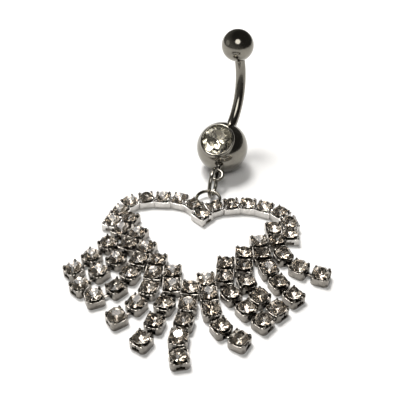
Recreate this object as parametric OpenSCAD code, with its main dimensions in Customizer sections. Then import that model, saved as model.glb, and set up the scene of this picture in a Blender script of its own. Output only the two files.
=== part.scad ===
// Curved navel ring with a heart-shaped dangle of cup chain, lying on a table.
// The heart's cups are soldered side by side, and eleven short loose strands hang from its lower edge.
// The origin is under the middle of the cup in the heart's notch, on the table, with +Z up.

/* [Barbell] */
// Diameter of the curved bar
bar_d = 1.6; // [1.2:0.1:2]
// Length of the bar between its two balls, along the curve
bar_len = 11; // [8:0.5:14]
// Radius of the bar's curve
bar_bend = 10; // [8:0.5:16]
// Diameter of the gem ball at the bar's lower end
gem_ball_d = 8; // [7.4:0.1:9]
// Diameter of the ball that screws on at the top
top_ball_d = 5; // [4:0.25:6]
// Diameter of the hidden stud that the top ball screws on
stud_d = 1.1; // [0.8:0.05:1.3]
// Length of the hidden stud
stud_len = 2.6; // [1.5:0.1:3]
// Space all round the stud in the top ball
stud_fit = 0.05; // [0.02:0.01:0.1]

/* [Gem] */
// Diameter of the gem at its girdle
gem_d = 4.9; // [4:0.1:5.4]
// Height of the gem above its girdle
gem_crown_h = 0.85; // [0.5:0.05:1.2]
// Depth of the gem below its girdle
gem_pavilion_h = 1.9; // [1.2:0.1:2.2]
// Thickness of the gem's edge
gem_edge = 0.12; // [0.06:0.02:0.2]
// Width of the bezel outside the gem
bezel_w = 0.24; // [0.18:0.02:0.4]
// Height of the bezel above the ball's flat face
bezel_h = 0.34; // [0.26:0.02:0.5]
// How far the bezel's lip reaches in over the gem's edge
bezel_lip = 0.14; // [0.08:0.02:0.2]

/* [Rings] */
// Wire of the eyelet on the gem ball
eyelet_wire = 0.6; // [0.5:0.05:0.7]
// Outer diameter of the eyelet
eyelet_d = 2.35; // [2.2:0.05:2.8]
// Length of bare neck between the ball and the eyelet
neck_len = 0.35; // [0.2:0.05:0.6]
// Diameter of that neck
neck_d = 0.9; // [0.6:0.05:1.2]
// Wire of the jump ring
ring_wire = 0.6; // [0.5:0.05:0.65]
// Outer diameter of the jump ring
ring_d = 4.9; // [4.8:0.1:5.6]
// Wire of the loop soldered at the notch
loop_wire = 0.5; // [0.4:0.05:0.55]
// Outer diameter of the loop soldered at the notch
loop_d = 4; // [3.9:0.05:4.2]

/* [Cups] */
// Width of a cup, which is also the step from one soldered cup to the next
cup_w = 2.5; // [2.46:0.02:2.7]
// Height of a cup's wall
cup_h = 1.25; // [1.15:0.05:1.5]
// Thickness of a cup's floor
cup_floor = 0.22; // [0.15:0.01:0.24]
// Bore of a cup round its stone
cup_bore = 2; // [1.94:0.02:2.04]
// Thickness of a cup's wall at the links
cup_wall = 0.2; // [0.14:0.01:0.22]
// Bevel of a cup's four upright corners
cup_bevel = 0.3; // [0.2:0.02:0.4]
// Thickness of a claw
claw_d = 0.36; // [0.3:0.02:0.4]
// Length of a claw's bent tip
claw_tip = 0.34; // [0.26:0.02:0.4]
// Width of the slot that a link passes through
slot_w = 1.05; // [0.9:0.05:1.15]
// Width of the slit above that slot
slit_w = 0.22; // [0.15:0.01:0.35]

/* [Stones] */
// Diameter of a small stone
stone_d = 2.2; // [2.1:0.02:2.24]
// Height of a stone above its edge
stone_crown_h = 0.4; // [0.3:0.05:0.5]
// Depth of a stone below its edge
stone_pavilion_h = 0.62; // [0.5:0.02:0.64]
// Thickness of a stone's edge
stone_edge = 0.08; // [0.04:0.01:0.12]

/* [Links] */
// Thickness of a link
link_t = 0.24; // [0.18:0.02:0.26]
// Width of a link between its two heads
link_w = 0.42; // [0.3:0.02:0.5]
// Width of a link's head
link_head_w = 1.3; // [1.22:0.02:1.34]
// Length of a link's head along the link
link_head_l = 0.26; // [0.2:0.02:0.3]
// Farthest apart that a link lets the walls of two cups be, between their middles
link_reach = 1.12; // [0.9:0.02:1.16]

/* [Pose] */
// Compass heading of the bar where it leaves the gem ball
bar_turn = 65; // [55:1:75]
// Rise of the bar there
bar_rise = 30; // [20:1:40]
// Turn of the bar's curve about the bar
bar_roll = -10; // [-20:1:0]
// Compass heading of the gem's face
gem_turn = -118; // [-130:1:-105]
// Rise of the gem's face
gem_rise = 53; // [45:1:60]
// Compass heading of the eyelet
eyelet_turn = -100; // [-104:1:-96]
// Rise of the eyelet
eyelet_rise = -17; // [-19:1:-14]
// Compass heading of the standing jump ring's plane
ring_turn = 74; // [70:1:78]
// Compass heading of the notch cup's slot
notch_turn = -45; // [-50:1:-40]

/* [Hidden] */
$fn = 48;
part_gap = 0.06;            // between pieces that are held together
stone_gap = 0.08;           // between a claw and its stone
link_gap = 0.12;            // between two loose cups pushed together, and round each link
root_depth = 2;             // how far the bar's root reaches into the gem ball
stone_lift = 0.12;          // from the top of a cup's wall up to its stone's edge
claw_rise = 0.22;           // from the top of a stone's edge up to the bend of its claws

// Headings of the steps from the notch cup outwards along the heart's two upper arms
left_arm = [120, 150, 172, 181, 201, 237, 249];
right_arm = [42, 12, 1, -17, -30, -62, -93];
// Columns of the lower band from the outside in: [heading of the step to the column, its own heading]
left_columns = [[15, -112], [-21, -114], [-15, -109], [-5, -99], [6, -90], [-10, -96]];
right_columns = [[150, -86], [-172, -84], [175, -93], [169, -95], [-167, -83]];
// Loose strands from left to right: [heading of a link, share of its reach, heading of the cup after it]
strands = [
    [[-119, 0.96, -127], [-136, 0.87, -120], [-135, 0.87, -136]],
    [[-117, 0.90, -122], [-143, 0.76, -131], [-131, 0.94, -132]],
    [[-112, 0.44, -115], [-114, 0.66, -135], [-148, 0.79, -159]],
    [[-90, 0.44, -107], [-127, 0.58, -126], [-135, 0.86, -147]],
    [[-108, 0.88, -117], [-105, 0.80, -108], [-122, 0.80, -123]],
    [[-108, 0.47, -94], [-101, 0.45, -103], [-116, 0.39, -98], [-81, 0.57, -80]],
    [[-96, 0.40, -78], [-64, 0.60, -58], [-36, 0.66, -32]],
    [[-75, 0.86, -56], [-52, 0.71, -54], [-38, 0.48, -43]],
    [[-93, 0.57, -75], [-55, 0.70, -48], [-40, 0.61, -47]],
    [[-73, 0.49, -71], [-64, 0.46, -62], [-42, 0.52, -51]],
    [[-78, 0.62, -69], [-53, 0.80, -34], [-24, 0.70, -20]]
];

// Cup and stone heights above the table
stone_z = cup_h + stone_lift;
link_z = cup_floor + link_gap;
slot_h = link_t + 2 * link_gap;
claw_reach = stone_d / 2 + stone_gap + claw_d / 2;
claw_z = stone_z + stone_edge + claw_rise;
claw_bend = 60;
claw_taper = 0.8;
table_share = 0.56;
slot_r = (cup_w - cup_wall) / 2;
head_play = 0.25;
link_span = link_reach + cup_wall + link_head_l + 2 * head_play;
solder_w = 1.2;
solder_z = 0.1;
solder_h = 0.9;

// Loop, jump ring, eyelet and gem ball, each placed from the one before it
loop_at = [0.9, 3.8];
loop_z = cup_h - loop_wire / 2;
ring_in_loop = [0.31, 0.38];
ring_r = (ring_d - ring_wire) / 2;
eyelet_far = gem_ball_d / 2 + neck_len + eyelet_d / 2;
eyelet_z = gem_ball_d / 2 + eyelet_far * sin(eyelet_rise);
ring_near = sqrt(ring_r ^ 2 - (ring_d / 2 - loop_z) ^ 2);
ring_at = loop_at + ring_in_loop + ring_near * heading(ring_turn);
ring_far = sqrt(ring_r ^ 2 - (eyelet_z - ring_d / 2) ^ 2);
ball_at = ring_at + ring_far * heading(ring_turn) - eyelet_far * cos(eyelet_rise) * heading(eyelet_turn);

// The gem's seat in its ball
bezel_r = gem_d / 2 + part_gap + bezel_w;
gem_flat_z = sqrt((gem_ball_d / 2) ^ 2 - bezel_r ^ 2);
gem_table_share = 0.54;
lip_z = bezel_lip / (gem_d / 2 * (1 - gem_table_share)) * gem_crown_h + part_gap;
bar_sweep = bar_len / bar_bend * 180 / PI;
top_seat = sqrt((top_ball_d / 2) ^ 2 - (bar_d / 2 + stud_fit) ^ 2);

function heading(a) = [cos(a), sin(a)];
function way(a, b) = atan2(b.y - a.y, b.x - a.x);

// Points reached from a start by steps of one cup width
function walk(start, turns, i = 0) = i == len(turns) ? [] :
    let (next = start + cup_w * heading(turns[i])) concat([next], walk(next, turns, i + 1));

// Rail cup and lower cup of each column of the band
function band(start, columns, i = 0) = i == len(columns) ? [] :
    let (rail = start + cup_w * heading(columns[i][0]))
    let (low = rail + cup_w * heading(columns[i][1]))
    concat([[rail, low]], band(low, columns, i + 1));

// Cups of a loose strand after its root, each as [place, heading]
function hang(from, links, i = 0) = i == len(links) ? [] :
    let (slot = from[0] + slot_r * heading(from[1]) + link_reach * links[i][1] * heading(links[i][0]))
    let (next = [slot + slot_r * heading(links[i][2]), links[i][2]])
    concat([next], hang(next, links, i + 1));

// The heart: two arms that start at the notch cup, and a band that closes them
left_points = walk([0, 0], left_arm);
right_points = walk([0, 0], right_arm);
left_band = band(left_points[len(left_arm) - 1], left_columns);
right_band = band(right_points[len(right_arm) - 1], right_columns);
middle = left_band[len(left_columns) - 1][0];

// Each cup of the heart is [place, heading of its slot, 1 if its slot is open]
function arm_cups(points, turns) = [for (i = [0:len(points) - 1])
    let (last = i == len(points) - 1)
    [points[i], last ? turns[i] : (turns[i] + turns[i + 1]) / 2, last ? 1 : 0]];
function band_cups(places, columns, count) = [for (i = [0:count - 1]) each
    [[places[i][0], columns[i][1], 0], [places[i][1], columns[i][1], 1]]];

arms = concat([[[0, 0], notch_turn, 1]], arm_cups(left_points, left_arm), arm_cups(right_points, right_arm));
lower_band = concat(band_cups(left_band, left_columns, len(left_columns) - 1),
    [[middle, left_columns[len(left_columns) - 1][1], 1]],
    band_cups(right_band, right_columns, len(right_columns)));
heart = concat(arms, lower_band);

// Where the strands hang from the heart, from left to right, as [place, heading]
roots = concat([for (i = [0:len(left_columns) - 2]) [left_band[i][1], left_columns[i][1]]],
    [[middle, left_columns[len(left_columns) - 1][1]]],
    [for (i = [len(right_columns) - 1:-1:0]) [right_band[i][1], right_columns[i][1]]]);

// The soldered joints run from cup to cup
left_line = concat([[0, 0]], left_points, [for (c = left_band) each c]);
right_line = concat([[0, 0]], right_points, [for (c = right_band) each c]);
joints = concat([for (i = [0:len(left_line) - 3]) [left_line[i], left_line[i + 1]]],
    [for (i = [0:len(right_line) - 2]) [right_line[i], right_line[i + 1]]],
    [for (p = right_band[len(right_columns) - 1]) [middle, p]]);

module aim(turn, rise) { rotate([0, 90 - rise, turn]) children(); }

module hoop(outer, wire) { rotate_extrude() translate([(outer - wire) / 2, 0]) circle(d = wire); }

// A cut stone: flat table, eight crown and eight star facets, edge band and pointed pavilion
module cut_stone(d, crown_h, edge, pavilion_h, table, sides = 8) {
    top = [for (i = [0:sides - 1]) let (a = (i + 0.5) * 360 / sides) [cos(a), sin(a)] * d / 2 * table];
    rim = [for (i = [0:sides - 1]) let (a = i * 360 / sides) [cos(a), sin(a)] * d / 2];
    points = concat([for (p = top) [p.x, p.y, edge + crown_h]], [for (p = rim) [p.x, p.y, edge]],
        [for (p = rim) [p.x, p.y, 0]], [[0, 0, -pavilion_h]]);
    faces = concat([[for (i = [sides - 1:-1:0]) i]], [for (i = [0:sides - 1]) let (j = (i + 1) % sides) each [
        [i, sides + j, sides + i], [i, j, sides + j],
        [sides + i, sides + j, 2 * sides + j, 2 * sides + i],
        [2 * sides + i, 2 * sides + j, 3 * sides]]]);
    polyhedron(points, faces);
}

module place_cup(cup) { translate([cup[0].x, cup[0].y, 0]) rotate(cup[1]) children(); }

module small_stone() {
    translate([0, 0, stone_z]) cut_stone(stone_d, stone_crown_h, stone_edge, stone_pavilion_h, table_share);
}

// A claw stands outside its stone and bends in over it
module claw() {
    translate([claw_reach, 0, cup_floor]) cylinder(d = claw_d, h = claw_z - cup_floor, $fn = 6);
    translate([claw_reach + claw_d / 4, 0, claw_z - claw_d / 4]) rotate([0, -claw_bend, 0]) rotate(30)
        cylinder(d = claw_d * claw_taper, h = claw_tip, $fn = 6);
}

// A square of half width a with bevelled corners
module bevelled_square(a, bevel) {
    b = a - bevel;
    polygon([[a, -b], [a, b], [b, a], [-b, a], [-a, b], [-a, -b], [-b, -a], [b, -a]]);
}

// A claw is left off where it would stand in the room of another stone
module cup_body(cup, others = []) {
    linear_extrude(cup_h) bevelled_square(cup_w / 2, cup_bevel);
    for (q = [45:90:315]) {
        foot = cup[0] + claw_reach * heading(cup[1] + q);
        if (min([for (other = others) norm(other[0] - foot)]) > claw_reach - part_gap / 2) rotate(q) claw();
    }
}

// What each cup keeps free: the room for its links and its bore
module cup_hollow() {
    translate([0, 0, cup_floor]) linear_extrude(slot_h)
        bevelled_square(cup_w / 2 - cup_wall, cup_bevel * 2 / 3);
    translate([0, 0, cup_floor]) cylinder(d = cup_bore, h = cup_h);
}

module link_slot() { translate([0, -slot_w / 2, cup_floor]) cube([cup_w, slot_w, slot_h]); }

module exit_slot() {
    link_slot();
    translate([0, -slit_w / 2, cup_floor]) cube([cup_w, slit_w, cup_h]);
}

module chain_link() {
    translate([-link_span / 2, -link_w / 2, link_z]) cube([link_span, link_w, link_t]);
    for (s = [-1, 1]) translate([s * link_span / 2 - link_head_l / 2, -link_head_w / 2, link_z])
        cube([link_head_l, link_head_w, link_t]);
}

module solder(a, b) {
    translate([a.x, a.y, solder_z]) rotate(way(a, b)) translate([0, -solder_w / 2, 0])
        cube([norm(b - a), solder_w, solder_h]);
}

module top_ball() {
    color("dimgray") on_bar_end() difference() {
        translate([0, 0, top_seat + part_gap]) sphere(d = top_ball_d);
        translate([0, 0, part_gap - top_ball_d]) cylinder(d = top_ball_d, h = top_ball_d);
        cylinder(d = stud_d + 2 * stud_fit, h = stud_len + part_gap);
    }
}

module on_ball() { translate([ball_at.x, ball_at.y, gem_ball_d / 2]) children(); }

// The bar leaves its ball along +Z and bends towards -X
module on_bar() { on_ball() aim(bar_turn, bar_rise) rotate(bar_roll) children(); }

module on_bar_end() {
    on_bar() translate([-bar_bend, 0, gem_ball_d / 2]) rotate([0, -bar_sweep, 0]) translate([bar_bend, 0, 0])
        children();
}

module gem_seat() {
    rim = gem_flat_z - gem_edge - part_gap;
    rotate_extrude() polygon([[0, rim - gem_pavilion_h], [part_gap / 2, rim - gem_pavilion_h],
        [gem_d / 2 + part_gap, rim], [gem_d / 2 + part_gap, gem_flat_z + lip_z],
        [gem_d / 2 - bezel_lip, gem_flat_z + lip_z], [gem_d / 2 - bezel_lip, gem_flat_z + 2 * bezel_h],
        [0, gem_flat_z + 2 * bezel_h]]);
}

module bar() {
    color("gray") union() {
        difference() {
            union() {
                on_ball() sphere(d = gem_ball_d);
                on_bar() translate([0, 0, root_depth]) cylinder(d = bar_d, h = gem_ball_d / 2 - root_depth);
            }
            on_ball() aim(gem_turn, gem_rise) {
                translate([0, 0, gem_flat_z]) cylinder(d = gem_ball_d, h = gem_ball_d);
                gem_seat();
            }
        }
        on_ball() aim(gem_turn, gem_rise) difference() {
            rotate_extrude() polygon([[0, gem_flat_z - part_gap], [bezel_r, gem_flat_z - part_gap],
                [bezel_r - bezel_w / 3, gem_flat_z + bezel_h], [0, gem_flat_z + bezel_h]]);
            gem_seat();
        }
        on_bar() translate([-bar_bend, 0, gem_ball_d / 2]) rotate([90, 0, 0])
            rotate_extrude(angle = bar_sweep) translate([bar_bend, 0]) circle(d = bar_d);
        on_bar_end() translate([0, 0, -part_gap]) cylinder(d = stud_d, h = stud_len + part_gap);
        on_ball() aim(eyelet_turn, eyelet_rise) {
            translate([0, 0, gem_ball_d / 2 - neck_len])
                cylinder(d = neck_d, h = 2 * neck_len + eyelet_wire / 2);
            translate([0, 0, eyelet_far]) rotate([0, 90, 0]) hoop(eyelet_d, eyelet_wire);
        }
    }
}

module gem() {
    color("whitesmoke") on_ball() aim(gem_turn, gem_rise) translate([0, 0, gem_flat_z - gem_edge])
        cut_stone(gem_d, gem_crown_h, gem_edge, gem_pavilion_h - part_gap, gem_table_share, 16);
}

module jump_ring() {
    color("silver") translate([ring_at.x, ring_at.y, ring_d / 2]) rotate([90, 0, ring_turn])
        hoop(ring_d, ring_wire);
}

module heart_frame() {
    color("darkgray") difference() {
        union() {
            for (cup = heart) place_cup(cup) cup_body(cup, heart);
            for (j = joints) solder(j[0], j[1]);
            translate([loop_at.x, loop_at.y, loop_z]) hoop(loop_d, loop_wire);
        }
        for (cup = heart) place_cup(cup) cup_hollow();
        for (cup = heart) if (cup[2] == 1) place_cup(cup) exit_slot();
    }
}

module arm_stones() { color("lightgray") for (cup = arms) place_cup(cup) small_stone(); }

module band_stones() { color("lightgray") for (cup = lower_band) place_cup(cup) small_stone(); }

module strand(n) {
    cups = concat([roots[n]], hang(roots[n], strands[n]));
    color("silver") for (i = [1:len(cups) - 1]) {
        leave = cups[i - 1][0] + slot_r * heading(cups[i - 1][1]);
        enter = cups[i][0] - slot_r * heading(cups[i][1]);
        between = (leave + enter) / 2;
        translate([between.x, between.y, 0]) rotate(way(leave, enter)) chain_link();
        place_cup(cups[i]) difference() {
            cup_body(cups[i], [cups[i]]);
            cup_hollow();
            exit_slot();
            rotate(180) link_slot();
        }
    }
}

module strand_stones(n) {
    color("lightgray") for (cup = hang(roots[n], strands[n])) place_cup(cup) small_stone();
}

top_ball();
bar();
gem();
jump_ring();
heart_frame();
arm_stones();
band_stones();
strand(0);  // strand_1
strand(1);  // strand_2
strand(2);  // strand_3
strand(3);  // strand_4
strand(4);  // strand_5
strand(5);  // strand_6
strand(6);  // strand_7
strand(7);  // strand_8
strand(8);  // strand_9
strand(9);  // strand_10
strand(10);  // strand_11
strand_stones(0);  // stones_1
strand_stones(1);  // stones_2
strand_stones(2);  // stones_3
strand_stones(3);  // stones_4
strand_stones(4);  // stones_5
strand_stones(5);  // stones_6
strand_stones(6);  // stones_7
strand_stones(7);  // stones_8
strand_stones(8);  // stones_9
strand_stones(9);  // stones_10
strand_stones(10);  // stones_11
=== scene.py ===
import math
import random

import bmesh
import bpy
from mathutils import Matrix, Vector


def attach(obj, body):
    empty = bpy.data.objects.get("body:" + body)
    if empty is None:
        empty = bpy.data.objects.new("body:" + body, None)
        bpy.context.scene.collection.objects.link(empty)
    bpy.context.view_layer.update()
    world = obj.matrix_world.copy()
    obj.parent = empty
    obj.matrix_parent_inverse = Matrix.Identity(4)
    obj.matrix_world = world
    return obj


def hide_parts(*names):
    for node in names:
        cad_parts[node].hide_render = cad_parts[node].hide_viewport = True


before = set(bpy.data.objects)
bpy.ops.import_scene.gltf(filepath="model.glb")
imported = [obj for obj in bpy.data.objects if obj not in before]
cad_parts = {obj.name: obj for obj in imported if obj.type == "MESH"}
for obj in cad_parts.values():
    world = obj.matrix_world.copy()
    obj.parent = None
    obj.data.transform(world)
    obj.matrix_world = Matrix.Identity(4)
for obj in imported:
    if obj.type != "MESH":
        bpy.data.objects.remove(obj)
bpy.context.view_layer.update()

# Lengths are in millimetres until a piece is finished, and its mesh is then brought to metres
mm = 0.001
chance = random.Random(3)


# Camera, light and floor

cameraView = {"place": (-0.342, -78.191, 67.085), "tiltDown": 39, "lens": 63, "sensor": 36,
              "nearest": 0.002, "furthest": 20}

camera = bpy.data.objects.new("camera", bpy.data.cameras.new("camera"))
bpy.context.scene.collection.objects.link(camera)
camera.data.lens = cameraView["lens"]
camera.data.sensor_width = cameraView["sensor"]
camera.data.clip_start = cameraView["nearest"]
camera.data.clip_end = cameraView["furthest"]
camera.location = Vector(cameraView["place"]) * mm
camera.rotation_euler = (math.radians(90 - cameraView["tiltDown"]), 0, 0)
bpy.context.scene.camera = camera
bpy.context.scene.view_settings.view_transform = "Standard"
print("camera set")

# Each softbox: turn from +X and rise in degrees, distance, width, height, power in watts and colour
softboxes = {
    "front": {"turn": -93, "rise": 55, "far": 420, "wide": 250, "high": 250, "power": 0.66,
              "tint": (1, 0.985, 0.96)},
    "key": {"turn": 120, "rise": 68, "far": 420, "wide": 120, "high": 120, "power": 1.05,
            "tint": (1, 0.99, 0.97)},
    "left": {"turn": 178, "rise": 18, "far": 400, "wide": 260, "high": 180, "power": 0.05,
             "tint": (1, 0.98, 0.95)},
    "back": {"turn": 118, "rise": 58, "far": 420, "wide": 320, "high": 320, "power": 1.3,
             "tint": (1, 0.98, 0.96)},
}
lightTarget = Vector((0, -3, 2))

for name, box in softboxes.items():
    light = bpy.data.objects.new(name, bpy.data.lights.new(name, "AREA"))
    bpy.context.scene.collection.objects.link(light)
    light.data.shape = "ELLIPSE"
    light.data.size = box["wide"] * mm
    light.data.size_y = box["high"] * mm
    light.data.energy = box["power"]
    light.data.color = box["tint"]
    turn, rise = math.radians(box["turn"]), math.radians(box["rise"])
    away = Vector((math.cos(rise) * math.cos(turn), math.cos(rise) * math.sin(turn), math.sin(rise)))
    light.location = (lightTarget + away * box["far"]) * mm
    light.rotation_euler = away.to_track_quat("Z", "Y").to_euler()

# The two lamps behind are flagged off the pieces in this collection
flaggedOff = bpy.data.collections.new("flaggedOff")
for name in ("key", "back"):
    bpy.data.objects[name].light_linking.receiver_collection = flaggedOff

# The room's glow falls towards the ceiling and the right; the camera itself sees a pale wall
roomLook = {"horizon": (0.22, 0.214, 0.2, 1), "ceiling": (0.05, 0.048, 0.045, 1), "ceilingAt": 0.6,
            "darker": (0.5, 0, 1), "seen": (0.93, 0.93, 0.92, 1)}
world = bpy.data.worlds.new("room")
bpy.context.scene.world = world
world.use_nodes = True
skyNodes, skyLinks = world.node_tree.nodes, world.node_tree.links
skyNodes.clear()
skyOut = skyNodes.new("ShaderNodeOutputWorld")
dimRoom = skyNodes.new("ShaderNodeBackground")
roomCoords = skyNodes.new("ShaderNodeTexCoord")
roomFall = skyNodes.new("ShaderNodeVectorMath")
roomFall.operation = "DOT_PRODUCT"
roomFall.inputs[1].default_value = roomLook["darker"]
roomRamp = skyNodes.new("ShaderNodeValToRGB")
roomRamp.color_ramp.elements[0].color = roomLook["horizon"]
roomRamp.color_ramp.elements[1].position = roomLook["ceilingAt"]
roomRamp.color_ramp.elements[1].color = roomLook["ceiling"]
skyLinks.new(roomCoords.outputs["Generated"], roomFall.inputs[0])
skyLinks.new(roomFall.outputs["Value"], roomRamp.inputs["Fac"])
skyLinks.new(roomRamp.outputs["Color"], dimRoom.inputs["Color"])
paleWall = skyNodes.new("ShaderNodeBackground")
paleWall.inputs["Color"].default_value = roomLook["seen"]
seenMix = skyNodes.new("ShaderNodeMixShader")
skyPath = skyNodes.new("ShaderNodeLightPath")
skyLinks.new(skyPath.outputs["Is Camera Ray"], seenMix.inputs["Fac"])
skyLinks.new(dimRoom.outputs["Background"], seenMix.inputs[1])
skyLinks.new(paleWall.outputs["Background"], seenMix.inputs[2])
skyLinks.new(seenMix.outputs["Shader"], skyOut.inputs["Surface"])
print("lights set")


# Materials

# What every finish shares: how patches and scratches spread, and where colours and gloss change
surfaceSpread = {"patchDetail": 3, "scratchDetail": 2, "stretch": (1, 0.18, 1), "lean": (0.4, 0.3, 0.6),
                 "colours": (0.36, 0.64), "gloss": (0.35, 0.65), "bumpDeep": 0.02}


def makeSpeckGroup():
    # Soft cloudy patches and fine scratches that every finish uses
    group = bpy.data.node_groups.new("handledSurface", "ShaderNodeTree")
    face = group.interface
    face.new_socket("Vector", in_out="INPUT", socket_type="NodeSocketVector")
    for name, value in (("Patch Scale", 300.0), ("Scratch Scale", 1800.0), ("Scratch Share", 0.4)):
        face.new_socket(name, in_out="INPUT", socket_type="NodeSocketFloat").default_value = value
    face.new_socket("Mask", in_out="OUTPUT", socket_type="NodeSocketFloat")
    face.new_socket("Height", in_out="OUTPUT", socket_type="NodeSocketFloat")
    nodes, links = group.nodes, group.links
    given = nodes.new("NodeGroupInput")
    taken = nodes.new("NodeGroupOutput")
    patch = nodes.new("ShaderNodeTexNoise")
    patch.inputs["Detail"].default_value = surfaceSpread["patchDetail"]
    stretch = nodes.new("ShaderNodeMapping")
    stretch.inputs["Scale"].default_value = surfaceSpread["stretch"]
    stretch.inputs["Rotation"].default_value = surfaceSpread["lean"]
    scratch = nodes.new("ShaderNodeTexNoise")
    scratch.inputs["Detail"].default_value = surfaceSpread["scratchDetail"]
    blend = nodes.new("ShaderNodeMix")
    links.new(given.outputs["Vector"], patch.inputs["Vector"])
    links.new(given.outputs["Vector"], stretch.inputs["Vector"])
    links.new(stretch.outputs["Vector"], scratch.inputs["Vector"])
    links.new(given.outputs["Patch Scale"], patch.inputs["Scale"])
    links.new(given.outputs["Scratch Scale"], scratch.inputs["Scale"])
    links.new(given.outputs["Scratch Share"], blend.inputs["Factor"])
    links.new(patch.outputs["Fac"], blend.inputs["A"])
    links.new(scratch.outputs["Fac"], blend.inputs["B"])
    links.new(blend.outputs["Result"], taken.inputs["Mask"])
    links.new(scratch.outputs["Fac"], taken.inputs["Height"])
    return group


handledSurface = makeSpeckGroup()


def makeFinish(name, look):
    # Two colours and two roughnesses, mixed by the patches, with a faint scratch bump
    material = bpy.data.materials.new(name)
    material.use_nodes = True
    nodes, links = material.node_tree.nodes, material.node_tree.links
    shader = nodes["Principled BSDF"]
    coords = nodes.new("ShaderNodeTexCoord")
    surface = nodes.new("ShaderNodeGroup")
    surface.node_tree = handledSurface
    surface.inputs["Patch Scale"].default_value = look["patch"]
    surface.inputs["Scratch Scale"].default_value = look["scratch"]
    surface.inputs["Scratch Share"].default_value = look["share"]
    colours = nodes.new("ShaderNodeValToRGB")
    shades = zip(colours.color_ramp.elements, surfaceSpread["colours"], (look["dark"], look["pale"]))
    for stop, place, shade in shades:
        stop.position = place
        stop.color = (*shade, 1)
    gloss = nodes.new("ShaderNodeMapRange")
    gloss.inputs["From Min"].default_value, gloss.inputs["From Max"].default_value = surfaceSpread["gloss"]
    gloss.inputs["To Min"].default_value = look["smooth"]
    gloss.inputs["To Max"].default_value = look["rough"]
    bump = nodes.new("ShaderNodeBump")
    bump.inputs["Strength"].default_value = look["bump"]
    bump.inputs["Distance"].default_value = surfaceSpread["bumpDeep"] * mm
    links.new(coords.outputs["Object"], surface.inputs["Vector"])
    links.new(surface.outputs["Mask"], colours.inputs["Fac"])
    links.new(surface.outputs["Mask"], gloss.inputs["Value"])
    links.new(surface.outputs["Height"], bump.inputs["Height"])
    links.new(colours.outputs["Color"], shader.inputs["Base Color"])
    links.new(gloss.outputs["Result"], shader.inputs["Roughness"])
    links.new(bump.outputs["Normal"], shader.inputs["Normal"])
    shader.inputs["Metallic"].default_value = look.get("metal", 0)
    shader.inputs["Transmission Weight"].default_value = look.get("clear", 0)
    shader.inputs["IOR"].default_value = look.get("ior", 1.5)
    return material


finishes = {
    "polishedSteel": {"dark": (0.175, 0.165, 0.142), "pale": (0.235, 0.222, 0.192), "smooth": 0.11,
                      "rough": 0.19, "patch": 260, "scratch": 1500, "share": 0.4, "bump": 0.12, "metal": 1},
    # A lighter copy of the cup metal for the arms only: its paler colours are painted light, not a
    # different metal
    "paintedLitCup": {"dark": (0.42, 0.405, 0.385), "pale": (0.6, 0.58, 0.555), "smooth": 0.14, "rough": 0.28,
                  "patch": 480, "scratch": 2600, "share": 0.5, "bump": 0.3, "metal": 1},
    "platedCup": {"dark": (0.17, 0.157, 0.138), "pale": (0.3, 0.28, 0.255), "smooth": 0.16, "rough": 0.3,
                  "patch": 520, "scratch": 2600, "share": 0.5, "bump": 0.3, "metal": 1},
    "cutStone": {"dark": (0.86, 0.82, 0.75), "pale": (0.98, 0.96, 0.93), "smooth": 0.0, "rough": 0.012,
                 "patch": 420, "scratch": 2000, "share": 0.3, "bump": 0.04, "clear": 1, "ior": 1.58},
    "stoneFoil": {"dark": (0.6, 0.545, 0.485), "pale": (0.99, 0.95, 0.9), "smooth": 0.07, "rough": 0.18,
                  "patch": 900, "scratch": 3000, "share": 0.5, "bump": 0.2, "metal": 1},
    "cutGem": {"dark": (0.93, 0.9, 0.83), "pale": (0.99, 0.98, 0.95), "smooth": 0.0, "rough": 0.008,
               "patch": 240, "scratch": 1600, "share": 0.3, "bump": 0.03, "clear": 1, "ior": 1.55},
    "gemFoil": {"dark": (0.88, 0.85, 0.76), "pale": (0.95, 0.93, 0.85), "smooth": 0.06, "rough": 0.12,
                "patch": 300, "scratch": 2600, "share": 0.3, "bump": 0.04, "metal": 1},
    "paleTable": {"dark": (0.86, 0.86, 0.86), "pale": (0.9, 0.9, 0.895), "smooth": 0.55, "rough": 0.7,
                  "patch": 45, "scratch": 900, "share": 0.3, "bump": 0.05},
}
materials = {name: makeFinish(name, look) for name, look in finishes.items()}
print("materials made")

tableTop = {"side": 460, "squares": 8}
tableMesh = bmesh.new()
bmesh.ops.create_grid(tableMesh, x_segments=tableTop["squares"], y_segments=tableTop["squares"],
                      size=tableTop["side"] / 2 * mm)
floorMesh = bpy.data.meshes.new("floor")
tableMesh.to_mesh(floorMesh)
tableMesh.free()
floor = bpy.data.objects.new("floor", floorMesh)
bpy.context.scene.collection.objects.link(floor)
floor.data.materials.append(materials["paleTable"])


# Shared shapes

# Points within "weld" are one, heights within "level" and places within "slack" are alike, and a
# face looks sideways or upwards when that much of its normal points there
picking = {"weld": 1e-4, "level": 1e-3, "slack": 0.01, "sideways": 0.95, "upwards": 0.9}
# A cut ring's rims: the angle that counts as sharp, in radians, and the rounding as a share of the wire
cutRim = {"sharpFrom": 1.2, "soft": 0.1}


def heading(turn):
    return Vector((math.cos(math.radians(turn)), math.sin(math.radians(turn)), 0))


def turned(turn, axis="Z"):
    return Matrix.Rotation(math.radians(turn), 4, axis)


def aimed(turn, rise):
    return turned(turn) @ turned(90 - rise, "Y")


def edgesOf(verts):
    inside = set(verts)
    return list({e for v in verts for e in v.link_edges if e.verts[0] in inside and e.verts[1] in inside})


def asMesh(bm, smooth=True):
    for face in bm.faces:
        face.smooth = smooth
    mesh = bpy.data.meshes.new("shape")
    bm.to_mesh(mesh)
    bm.free()
    return mesh


def put(bm, shape, place):
    # Adds a copy of a shape to a growing mesh, at its own place
    start = len(bm.verts)
    bm.from_mesh(shape)
    bm.verts.ensure_lookup_table()
    bmesh.ops.transform(bm, matrix=place, verts=bm.verts[start:])


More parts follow.
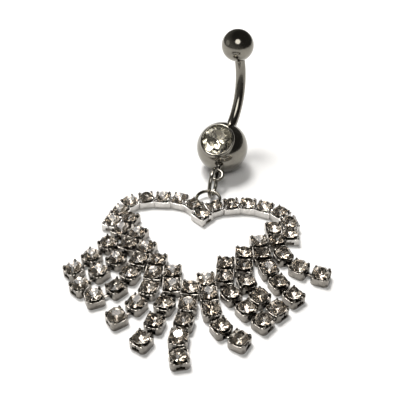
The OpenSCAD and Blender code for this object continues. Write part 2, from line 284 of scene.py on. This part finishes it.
def finishPiece(name, bm, material, nodes=(), sharpFrom=32):
    # Edges are sharp from an angle in degrees; nodes are the named parts that the piece stands for
    bmesh.ops.recalc_face_normals(bm, faces=bm.faces)
    bmesh.ops.transform(bm, matrix=Matrix.Scale(mm, 4), verts=bm.verts)
    mesh = bpy.data.meshes.new(name)
    bm.to_mesh(mesh)
    bm.free()
    mesh.set_sharp_from_angle(angle=math.radians(sharpFrom))
    piece = bpy.data.objects.new(name, mesh)
    bpy.context.scene.collection.objects.link(piece)
    mesh.materials.append(materials[material])
    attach(piece, "root")
    if nodes:
        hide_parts(*nodes)
    print("finished", name, len(mesh.polygons), "faces")
    return piece


def softenEdges(bm, sharpFrom, offset, clamped=False):
    # Rounds the edges that turn by more than an angle in radians
    sharp = [e for e in bm.edges if e.is_manifold and e.calc_face_angle() > sharpFrom]
    bmesh.ops.bevel(bm, geom=sharp, offset=offset, segments=2, profile=0.5, affect="EDGES",
                    clamp_overlap=clamped, material=-1)


def spinShape(profile, steps):
    # A closed solid of revolution about Z; the profile starts and ends on the axis
    bm = bmesh.new()
    verts = [bm.verts.new((r, 0, z)) for r, z in profile]
    edges = [bm.edges.new(pair) for pair in zip(verts, verts[1:])]
    bmesh.ops.spin(bm, geom=verts + edges, cent=(0, 0, 0), axis=(0, 0, 1), dvec=(0, 0, 0),
                   angle=2 * math.pi, steps=steps, use_merge=True)
    bmesh.ops.remove_doubles(bm, verts=bm.verts, dist=picking["weld"])
    return asMesh(bm)


def hoopShape(outer, wire, steps, sides, sweep=360):
    # A ring of round wire in the XY plane; a cut ring starts at +X
    bm = bmesh.new()
    across = Matrix.Translation(((outer - wire) / 2, 0, 0)) @ turned(90, "X")
    ring = bmesh.ops.create_circle(bm, segments=sides, radius=wire / 2, matrix=across)["verts"]
    whole = sweep == 360
    last = bmesh.ops.spin(bm, geom=ring + edgesOf(ring), cent=(0, 0, 0), axis=(0, 0, 1), dvec=(0, 0, 0),
                          angle=math.radians(sweep), steps=steps, use_merge=whole)["geom_last"]
    if not whole:
        bmesh.ops.contextual_create(bm, geom=edgesOf(ring))
        bmesh.ops.contextual_create(bm, geom=[g for g in last if isinstance(g, bmesh.types.BMEdge)])
        softenEdges(bm, cutRim["sharpFrom"], wire * cutRim["soft"])
    return asMesh(bm)


def tubeShape(stations, sides):
    # Round wire along a bent way; a station is a point and the wire's radius there
    bm = bmesh.new()
    ring = bmesh.ops.create_circle(bm, segments=sides, radius=1)["verts"]
    points = [Vector(point) for point, _ in stations]
    frames = []
    for i, (_, radius) in enumerate(stations):
        way = points[min(i + 1, len(points) - 1)] - points[max(i - 1, 0)]
        frames.append(Matrix.Translation(points[i]) @ way.to_track_quat("Z", "Y").to_matrix().to_4x4()
                      @ Matrix.Scale(radius, 4))
    bmesh.ops.transform(bm, matrix=frames[0], verts=ring)
    bmesh.ops.contextual_create(bm, geom=edgesOf(ring))
    for before, after in zip(frames, frames[1:]):
        grown = bmesh.ops.extrude_edge_only(bm, edges=edgesOf(ring))["geom"]
        ring = [g for g in grown if isinstance(g, bmesh.types.BMVert)]
        bmesh.ops.transform(bm, matrix=after @ before.inverted(), verts=ring)
    bmesh.ops.contextual_create(bm, geom=edgesOf(ring))
    return asMesh(bm)


def blockShape(size, middle, soft):
    bm = bmesh.new()
    bmesh.ops.create_cube(bm, size=1, matrix=Matrix.Translation(middle) @ Matrix.Diagonal((*size, 1)))
    bmesh.ops.bevel(bm, geom=bm.edges[:], offset=soft, segments=2, profile=0.5, affect="EDGES", material=-1)
    return asMesh(bm)


# The heart's layout, as the model's source walks it

layout = {
    "cupWide": 2.5, "claw": 1.36, "stoneRoom": 1.33, "slot": 1.15, "reach": 1.12,
    "stoneHigh": 1.37, "linkSpan": 2.08, "linkHigh": 0.34, "notchTurn": -45,
    "leftArm": [120, 150, 172, 181, 201, 237, 249],
    "rightArm": [42, 12, 1, -17, -30, -62, -93],
    "leftColumns": [(15, -112), (-21, -114), (-15, -109), (-5, -99), (6, -90), (-10, -96)],
    "rightColumns": [(150, -86), (-172, -84), (175, -93), (169, -95), (-167, -83)],
    # Each strand, from left to right: heading of a link, share of its reach, heading of the cup after it
    "strands": [
        [(-119, 0.96, -127), (-136, 0.87, -120), (-135, 0.87, -136)],
        [(-117, 0.90, -122), (-143, 0.76, -131), (-131, 0.94, -132)],
        [(-112, 0.44, -115), (-114, 0.66, -135), (-148, 0.79, -159)],
        [(-90, 0.44, -107), (-127, 0.58, -126), (-135, 0.86, -147)],
        [(-108, 0.88, -117), (-105, 0.80, -108), (-122, 0.80, -123)],
        [(-108, 0.47, -94), (-101, 0.45, -103), (-116, 0.39, -98), (-81, 0.57, -80)],
        [(-96, 0.40, -78), (-64, 0.60, -58), (-36, 0.66, -32)],
        [(-75, 0.86, -56), (-52, 0.71, -54), (-38, 0.48, -43)],
        [(-93, 0.57, -75), (-55, 0.70, -48), (-40, 0.61, -47)],
        [(-73, 0.49, -71), (-64, 0.46, -62), (-42, 0.52, -51)],
        [(-78, 0.62, -69), (-53, 0.80, -34), (-24, 0.70, -20)],
    ],
}


def walkArm(turns):
    # Cups of an arm after the notch cup, each (place, heading, whether its slot is open)
    cups, place = [], Vector((0, 0, 0))
    for i, turn in enumerate(turns):
        place = place + layout["cupWide"] * heading(turn)
        last = i == len(turns) - 1
        cups.append((place, turn if last else (turn + turns[i + 1]) / 2, last))
    return cups


def walkBand(start, columns):
    cups, place = [], start
    for step, turn in columns:
        rail = place + layout["cupWide"] * heading(step)
        place = rail + layout["cupWide"] * heading(turn)
        cups.append([(rail, turn, False), (place, turn, True)])
    return cups


leftArm, rightArm = walkArm(layout["leftArm"]), walkArm(layout["rightArm"])
leftBand = walkBand(leftArm[-1][0], layout["leftColumns"])
rightBand = walkBand(rightArm[-1][0], layout["rightColumns"])
middleCup = (leftBand[-1][0][0], layout["leftColumns"][-1][1], True)
notchCup = (Vector((0, 0, 0)), layout["notchTurn"], True)
armCups = [notchCup] + leftArm + rightArm
bandCups = [cup for column in leftBand[:-1] + rightBand for cup in column] + [middleCup]
strandRoots = [column[1] for column in leftBand[:-1]] + [middleCup]
strandRoots += [column[1] for column in rightBand[::-1]]
leftLine = [notchCup] + leftArm + [cup for column in leftBand for cup in column][:-1]
rightLine = [notchCup] + rightArm + [cup for column in rightBand for cup in column]
solderedPairs = list(zip(leftLine, leftLine[1:])) + list(zip(rightLine, rightLine[1:]))
solderedPairs += [(middleCup, cup) for cup in rightBand[-1]]


def hangStrand(root, links):
    # Cups of a loose strand after its root
    cups, (place, turn, _) = [], root
    for linkTurn, share, cupTurn in links:
        slotEnd = place + layout["slot"] * heading(turn) + layout["reach"] * share * heading(linkTurn)
        place, turn = slotEnd + layout["slot"] * heading(cupTurn), cupTurn
        cups.append((place, turn, True))
    return cups


strandCups = [hangStrand(root, links) for root, links in zip(strandRoots, layout["strands"])]
print("layout walked:", len(armCups), len(bandCups), sum(map(len, strandCups)), "cups")


# Cups, claws, solder and links

cupLook = {"wide": 2.47, "high": 1.25, "heartCorner": 0.17, "looseCorner": 0.6, "rim": 0.15, "dish": 0.53,
           "dip": 0.1, "dipCut": 1.6, "slotWide": 1.05, "slotLow": 0.22, "slotHigh": 0.7, "slitWide": 0.22,
           "slitDeep": 0.12, "slotDeep": 0.5, "softEdge": 0.03, "sharpFrom": 0.6, "cornerSteps": 4}
# A claw's way: distance from the cup's middle, height and radius
clawLook = {"sides": 10, "way": [(1.33, 0.78, 0.16), (1.33, 1.34, 0.16), (1.32, 1.45, 0.16),
                                 (1.27, 1.53, 0.155), (1.2, 1.575, 0.14), (1.12, 1.6, 0.11),
                                 (1.06, 1.6, 0.06)]}
linkLook = {"thick": 0.24, "wide": 0.42, "headWide": 1.3, "headLong": 0.26, "headSwell": 1.02,
            "softEdge": 0.05}
solderLook = {"wide": 1.12, "high": 0.84, "middle": 0.54, "bite": 0.3, "softEdge": 0.07}
loopLook = {"wire": 0.5, "outer": 4.0, "place": (0.9, 3.8, 1.0), "steps": 72, "sides": 16}


def pushIn(bm, faces, vec):
    # Extrudes a patch of faces, and gives back the patch where it now is
    grown = bmesh.ops.extrude_face_region(bm, geom=faces)["geom"]
    bmesh.ops.delete(bm, geom=[f for f in faces if f.is_valid], context="FACES")
    bmesh.ops.translate(bm, verts=[g for g in grown if isinstance(g, bmesh.types.BMVert)], vec=vec)
    return [g for g in grown if isinstance(g, bmesh.types.BMFace)]


def cutSlot(bm, turn, withSlit):
    # Pushes the faces of one side wall inwards, between the cut lines
    look, side = cupLook, heading(turn)
    across = heading(turn + 90)
    chosen = []
    bm.normal_update()
    for face in bm.faces:
        middle = face.calc_center_median()
        inWall = middle.dot(side) >= look["wide"] / 2 - picking["slack"]
        if face.normal.dot(side) < picking["sideways"] or not inWall:
            continue
        off = abs(middle.dot(across))
        inSlot = off < look["slotWide"] / 2 and look["slotLow"] < middle.z < look["slotHigh"]
        inSlit = withSlit and off < look["slitWide"] / 2 and look["slotHigh"] < middle.z
        if inSlot or inSlit:
            chosen.append(face)
    pushed = pushIn(bm, chosen, side * -look["slitDeep"])
    deeper = [f for f in pushed if f.calc_center_median().z < look["slotHigh"]]
    pushIn(bm, deeper, side * (look["slitDeep"] - look["slotDeep"]))


def cupShape(openFront, loose):
    # Soldered cups have sharper corners, so that their walls run on; loose ones are open at both ends
    look = cupLook
    corner = look["looseCorner"] if loose else look["heartCorner"]
    bm = bmesh.new()
    size = Matrix.Diagonal((look["wide"], look["wide"], look["high"], 1))
    body = Matrix.Translation((0, 0, look["high"] / 2)) @ size
    bmesh.ops.create_cube(bm, size=1, matrix=body)
    upright = [e for e in bm.edges if abs(e.verts[0].co.z - e.verts[1].co.z) > look["high"] / 2]
    bmesh.ops.bevel(bm, geom=upright, offset=corner, segments=look["cornerSteps"], profile=0.5,
                    affect="EDGES", material=-1)
    halfSlot, halfSlit = look["slotWide"] / 2, look["slitWide"] / 2
    cutHeights = (look["slotLow"], look["slotHigh"], look["high"] - look["dip"] * look["dipCut"])
    cuts = [((0, s, 0), (0, 1, 0)) for s in (-halfSlot, -halfSlit, halfSlit, halfSlot)]
    cuts += [((s, 0, 0), (1, 0, 0)) for s in (-halfSlot, halfSlot)]
    cuts += [((0, 0, z), (0, 0, 1)) for z in cutHeights]
    for point, normal in cuts:
        bmesh.ops.bisect_plane(bm, geom=bm.verts[:] + bm.edges[:] + bm.faces[:], dist=picking["weld"],
                               plane_co=point, plane_no=normal)
    bm.normal_update()
    top = [f for f in bm.faces if f.normal.z > picking["upwards"]]
    bmesh.ops.inset_region(bm, faces=top, thickness=look["rim"], use_boundary=True, use_even_offset=True)
    pushIn(bm, top, (0, 0, -look["dish"]))
    for v in bm.verts:
        onRim = v.co.z > look["high"] - picking["level"]
        if onRim and min(abs(v.co.x), abs(v.co.y)) < halfSlot + picking["slack"]:
            v.co.z -= look["dip"]
    if openFront:
        cutSlot(bm, 0, True)
    if loose:
        cutSlot(bm, 180, False)
    bmesh.ops.remove_doubles(bm, verts=bm.verts, dist=picking["weld"])
    bmesh.ops.recalc_face_normals(bm, faces=bm.faces)
    softenEdges(bm, look["sharpFrom"], look["softEdge"], True)
    return asMesh(bm)


cupShapes = {(front, loose): cupShape(front, loose) for front in (False, True) for loose in (False, True)}
clawShape = tubeShape([((x, 0, z), radius) for x, z, radius in clawLook["way"]], clawLook["sides"])


def placeOf(cup):
    return Matrix.Translation(cup[0]) @ turned(cup[1])


def addCup(bm, cup, others, loose):
    put(bm, cupShapes[(cup[2], loose)], placeOf(cup))
    for corner in (45, 135, 225, 315):
        foot = cup[0] + layout["claw"] * heading(cup[1] + corner)
        if min((foot - other[0]).length for other in others) > layout["stoneRoom"]:
            put(bm, clawShape, placeOf(cup) @ turned(corner))


def between(one, other):
    # Midway between two points, with +X along the way from one to the other
    aim = (other - one).to_track_quat("X", "Z").to_matrix().to_4x4()
    return Matrix.Translation((one + other) / 2) @ aim


def linkShape(span):
    look, bm = linkLook, bmesh.new()
    height = layout["linkHigh"] + look["thick"] / 2
    put(bm, blockShape((span, look["wide"], look["thick"]), (0, 0, height), look["softEdge"]), Matrix())
    headSize = (look["headLong"], look["headWide"], look["thick"] * look["headSwell"])
    head = blockShape(headSize, (0, 0, height), look["softEdge"])
    for s in (-1, 1):
        put(bm, head, Matrix.Translation((s * (span - look["headLong"]) / 2, 0, 0)))
    return asMesh(bm)


# The arms get a lighter copy of the cup metal, painted light for the brightness their walls catch; the band
# below keeps the plain cup metal
heartCups = armCups + bandCups
arms, band = bmesh.new(), bmesh.new()
for cup in armCups:
    addCup(arms, cup, heartCups, False)
for cup in bandCups:
    addCup(band, cup, heartCups, False)
for one, other in solderedPairs:
    way = other[0] - one[0]
    jointLong = way.length - 2 * (layout["cupWide"] / 2 - solderLook["bite"])
    size = (jointLong, solderLook["wide"], solderLook["high"])
    joint = blockShape(size, (0, 0, solderLook["middle"]), solderLook["softEdge"])
    put(arms if other in armCups else band, joint, between(one[0], other[0]))
finishPiece("heartArms", arms, "paintedLitCup", ["heart_frame"])
finishPiece("heartBand", band, "platedCup")

notchLoop = bmesh.new()
put(notchLoop, hoopShape(loopLook["outer"], loopLook["wire"], loopLook["steps"], loopLook["sides"]),
    Matrix.Translation(loopLook["place"]))
finishPiece("notchLoop", notchLoop, "polishedSteel")

linkBar = linkShape(layout["linkSpan"])
for number, (root, cups) in enumerate(zip(strandRoots, strandCups), 1):
    bm = bmesh.new()
    before = root
    for cup in cups:
        addCup(bm, cup, [cup], True)
        leave = before[0] + layout["slot"] * heading(before[1])
        enter = cup[0] - layout["slot"] * heading(cup[1])
        put(bm, linkBar, between(leave, enter))
        before = cup
    finishPiece("looseStrand" + str(number), bm, "platedCup", ["strand_%d" % number])
print("cups done")


# Cut stones

stoneLook = {"wide": 2.3, "crown": 0.5, "edge": 0.08, "deep": 0.7, "table": 0.5, "sides": 8,
             "pavilionMid": 0, "foilIn": 0.035, "foilDeep": 0.7, "foilThick": 0.03, "tilt": 9, "spin": 45}
gemLook = {"wide": 4.9, "crown": 0.85, "edge": 0.12, "deep": 1.84, "table": 0.62, "sides": 16,
           "pavilionMid": 0.8, "pavilionDrop": 0.235, "foilIn": 0.05, "foilDeep": 0.75, "foilThick": 0.05}
# The points of a table, and of the gem's row below its edge
facetRow = {"count": 8, "turn": 22.5}
# A foil keeps off the stone's faces by shares of "foilIn", at its point and at that row
foilGap = {"point": 1.3, "row": 0.5}
# Facets within the first angle, in radians, are one; they stay sharp from the second, in degrees
oneFacet, everyFacet = 0.01, 1


def ringPoints(bm, radius, z, count, turn):
    place = Matrix.Translation((0, 0, z)) @ turned(turn)
    return bmesh.ops.create_circle(bm, segments=count, radius=radius, matrix=place)["verts"]


def hullOf(bm):
    found = bmesh.ops.convex_hull(bm, input=bm.verts[:], use_existing_faces=False)
    loose = [g for g in found["geom_interior"] + found["geom_unused"] if isinstance(g, bmesh.types.BMVert)]
    bmesh.ops.delete(bm, geom=list(set(loose)), context="VERTS")
    wires = [e for e in bm.edges if not e.link_faces]
    bmesh.ops.delete(bm, geom=wires, context="EDGES")
    bmesh.ops.dissolve_limit(bm, angle_limit=oneFacet, verts=bm.verts[:], edges=bm.edges[:])


def stoneShape(look):
    # A table and crown facets above the edge band, and a point below; the gem has one more row there
    r = look["wide"] / 2
    bm = bmesh.new()
    ringPoints(bm, r * look["table"], look["edge"] + look["crown"], **facetRow)
    ringPoints(bm, r, look["edge"], look["sides"], 0)
    ringPoints(bm, r, 0, look["sides"], 0)
    if look["pavilionMid"]:
        ringPoints(bm, r * look["pavilionMid"], -look["deep"] * look["pavilionDrop"], **facetRow)
    bm.verts.new((0, 0, -look["deep"]))
    hullOf(bm)
    return asMesh(bm, smooth=False)


def foilShape(look):
    # The bright backing, a thin cone inside the stone
    r, inset = look["wide"] / 2 - look["foilIn"], look["foilIn"]
    bm = bmesh.new()
    ringPoints(bm, r, inset, look["sides"], 0)
    if look["pavilionMid"]:
        mid = look["wide"] / 2 * look["pavilionMid"] - inset * foilGap["row"]
        ringPoints(bm, mid, -look["foilDeep"] * look["pavilionDrop"] + inset, **facetRow)
    bm.verts.new((0, 0, -look["foilDeep"] + inset * foilGap["point"]))
    hullOf(bm)
    bm.normal_update()
    lid = [f for f in bm.faces if f.normal.z > picking["upwards"]]
    bmesh.ops.delete(bm, geom=lid, context="FACES_ONLY")
    bmesh.ops.recalc_face_normals(bm, faces=bm.faces)
    bmesh.ops.solidify(bm, geom=bm.faces[:], thickness=look["foilThick"])
    return asMesh(bm, smooth=False)


stone, stoneFoil = stoneShape(stoneLook), foilShape(stoneLook)


def addStones(name, cups, node):
    glass, foil = bmesh.new(), bmesh.new()
    for cup in cups:
        tilt = turned(chance.uniform(-1, 1) * stoneLook["tilt"], "X")
        tilt = tilt @ turned(chance.uniform(-1, 1) * stoneLook["tilt"], "Y")
        seat = placeOf(cup) @ Matrix.Translation((0, 0, layout["stoneHigh"]))
        place = seat @ tilt @ turned(chance.uniform(0, stoneLook["spin"]))
        put(glass, stone, place)
        put(foil, stoneFoil, place)
    finishPiece(name, glass, "cutStone", [node], sharpFrom=everyFacet)
    finishPiece(name + "Foil", foil, "stoneFoil", sharpFrom=everyFacet)


addStones("armStones", armCups, "arm_stones")
addStones("bandStones", bandCups, "band_stones")
for number, cups in enumerate(strandCups, 1):
    addStones("looseStones" + str(number), cups, "stones_%d" % number)
print("stones done")


# Barbell, gem and rings

barLook = {"thick": 1.6, "long": 11, "bend": 10, "ball": 8, "topBall": 5, "turn": 65, "rise": 30,
           "roll": -10, "root": 2, "topSeat": 2.351, "gap": 0.06, "sides": 40, "steps": 40,
           "ballRows": 44, "ballSteps": 96, "topRows": 40, "topSteps": 80}
# The bezel's rows: distance in from its outside, or out from its lip, and height over the ball's flat
gemSeat = {"turn": -118, "rise": 53, "spin": 8, "outer": 2.75, "lipIn": 2.31, "seat": 2.51,
           "seatHigh": 0.166, "deep": 1.9, "gap": 0.06, "middle": 0.03,
           "outside": [(0.015, 0.05), (0.05, 0.2), (0.12, 0.3), (0.21, 0.34)],
           "lip": [(0.1, 0.33), (0.03, 0.28), (0, 0.22), (0, 0.17)]}
# The neck's rows: radius and distance from the ball's middle
eyeletLook = {"wire": 0.6, "outer": 2.35, "turn": -100, "rise": -17, "steps": 56, "sides": 18,
              "neck": 0.35, "neckSteps": 32,
              "neckRows": [(0, 3.72), (0.6, 3.86), (0.52, 4.0), (0.46, 4.12), (0.43, 4.3), (0.4, 4.5),
                           (0.3, 4.64), (0, 4.66)]}
ringLook = {"wire": 0.6, "outer": 4.9, "turn": 74, "inLoop": (0.31, 0.38), "cutAt": -62, "cutWide": 3.5,
            "steps": 96, "sides": 18}

ringMid = (ringLook["outer"] - ringLook["wire"]) / 2
eyeletFar = barLook["ball"] / 2 + eyeletLook["neck"] + eyeletLook["outer"] / 2
eyeletRise = math.radians(eyeletLook["rise"])
eyeletHigh = barLook["ball"] / 2 + eyeletFar * math.sin(eyeletRise)
ringNear = math.sqrt(ringMid ** 2 - (ringLook["outer"] / 2 - loopLook["place"][2]) ** 2)
ringFoot = Vector((*loopLook["place"][:2], 0)) + Vector((*ringLook["inLoop"], 0))
ringAt = ringFoot + ringNear * heading(ringLook["turn"])
ringFar = math.sqrt(ringMid ** 2 - (eyeletHigh - ringLook["outer"] / 2) ** 2)
ballAt = ringAt + ringFar * heading(ringLook["turn"])
ballAt -= eyeletFar * math.cos(eyeletRise) * heading(eyeletLook["turn"])
ballPlace = Matrix.Translation(ballAt + Vector((0, 0, barLook["ball"] / 2)))
gemPlace = ballPlace @ aimed(gemSeat["turn"], gemSeat["rise"])
barPlace = ballPlace @ aimed(barLook["turn"], barLook["rise"]) @ turned(barLook["roll"])
gemFlat = math.sqrt((barLook["ball"] / 2) ** 2 - gemSeat["outer"] ** 2)


def ballProfile(radius, fromTurn, toTurn, steps):
    turns = [math.radians(fromTurn + (toTurn - fromTurn) * i / steps) for i in range(steps + 1)]
    return [(max(radius * math.cos(t), 0), radius * math.sin(t)) for t in turns]


# The gem ball with its flat, bezel and seat is one turned solid
seatTop = gemFlat - gemLook["edge"] - gemSeat["gap"]
seatFloor = seatTop - gemSeat["deep"]
flatTurn = math.degrees(math.atan2(gemFlat, gemSeat["outer"]))
turnedBall = ballProfile(barLook["ball"] / 2, -90, flatTurn, barLook["ballRows"])
turnedBall += [(gemSeat["outer"] - inward, gemFlat + up) for inward, up in gemSeat["outside"]]
turnedBall += [(gemSeat["lipIn"] + outward, gemFlat + up) for outward, up in gemSeat["lip"]]
turnedBall += [(gemSeat["seat"], gemFlat + gemSeat["seatHigh"]), (gemSeat["seat"], seatTop),
               (gemSeat["middle"], seatFloor), (0, seatFloor)]
gemBall = bmesh.new()
put(gemBall, spinShape(turnedBall, barLook["ballSteps"]), gemPlace)

# Neck and eyelet on the near side of the ball
eyeletPlace = ballPlace @ aimed(eyeletLook["turn"], eyeletLook["rise"])
put(gemBall, spinShape(eyeletLook["neckRows"], eyeletLook["neckSteps"]), eyeletPlace)
put(gemBall, hoopShape(eyeletLook["outer"], eyeletLook["wire"], eyeletLook["steps"], eyeletLook["sides"]),
    eyeletPlace @ Matrix.Translation((0, 0, eyeletFar)) @ turned(90, "Y"))

# The bar grows out of the ball and is spun along its bend
barBend = math.degrees(barLook["long"] / barLook["bend"])
barMesh = bmesh.new()
ring = bmesh.ops.create_circle(barMesh, segments=barLook["sides"], radius=barLook["thick"] / 2,
                               matrix=Matrix.Translation((0, 0, barLook["root"])))["verts"]
bmesh.ops.contextual_create(barMesh, geom=edgesOf(ring))
grown = bmesh.ops.extrude_edge_only(barMesh, edges=edgesOf(ring))["geom"]
ring = [g for g in grown if isinstance(g, bmesh.types.BMVert)]
bmesh.ops.translate(barMesh, verts=ring, vec=(0, 0, barLook["ball"] / 2 - barLook["root"]))
bendMiddle = (-barLook["bend"], 0, barLook["ball"] / 2)
last = bmesh.ops.spin(barMesh, geom=ring + edgesOf(ring), cent=bendMiddle, axis=(0, -1, 0), dvec=(0, 0, 0),
                      angle=math.radians(barBend), steps=barLook["steps"], use_merge=False)["geom_last"]
bmesh.ops.contextual_create(barMesh, geom=[g for g in last if isinstance(g, bmesh.types.BMEdge)])
put(gemBall, asMesh(barMesh), barPlace)
finishPiece("curvedBar", gemBall, "polishedSteel", ["bar"])

barEnd = (barPlace @ Matrix.Translation(bendMiddle) @ turned(-barBend, "Y")
          @ Matrix.Translation((barLook["bend"], 0, 0)))
seatTurn = -math.degrees(math.asin(barLook["topSeat"] / (barLook["topBall"] / 2)))
topProfile = [(0, -barLook["topSeat"])]
topProfile += ballProfile(barLook["topBall"] / 2, seatTurn, 90, barLook["topRows"])
topBall = bmesh.new()
put(topBall, spinShape(topProfile, barLook["topSteps"]),
    barEnd @ Matrix.Translation((0, 0, barLook["topSeat"] + barLook["gap"])))
screwBall = finishPiece("screwBall", topBall, "polishedSteel", ["top_ball"])
flaggedOff.objects.link(screwBall)
flaggedOff.collection_objects[0].light_linking.link_state = "EXCLUDE"

# The jump ring stands through the loop and the eyelet, with its cut closed to a hair
jumpRing = bmesh.new()
standing = Matrix.Translation((ringAt.x, ringAt.y, ringLook["outer"] / 2))
standing = standing @ turned(ringLook["turn"]) @ turned(90, "X")
openHoop = hoopShape(ringLook["outer"], ringLook["wire"], ringLook["steps"], ringLook["sides"],
                     360 - ringLook["cutWide"])
put(jumpRing, openHoop, standing @ turned(ringLook["cutAt"]))
finishPiece("openRing", jumpRing, "polishedSteel", ["jump_ring"])

gemPoint = gemPlace @ Matrix.Translation((0, 0, gemFlat - gemLook["edge"])) @ turned(gemSeat["spin"])
gem = bmesh.new()
put(gem, stoneShape(gemLook), gemPoint)
finishPiece("clearGem", gem, "cutGem", ["gem"], sharpFrom=everyFacet)
gemBack = bmesh.new()
put(gemBack, foilShape(gemLook), gemPoint)
finishPiece("gemFoil", gemBack, "gemFoil", sharpFrom=everyFacet)
print("barbell done")
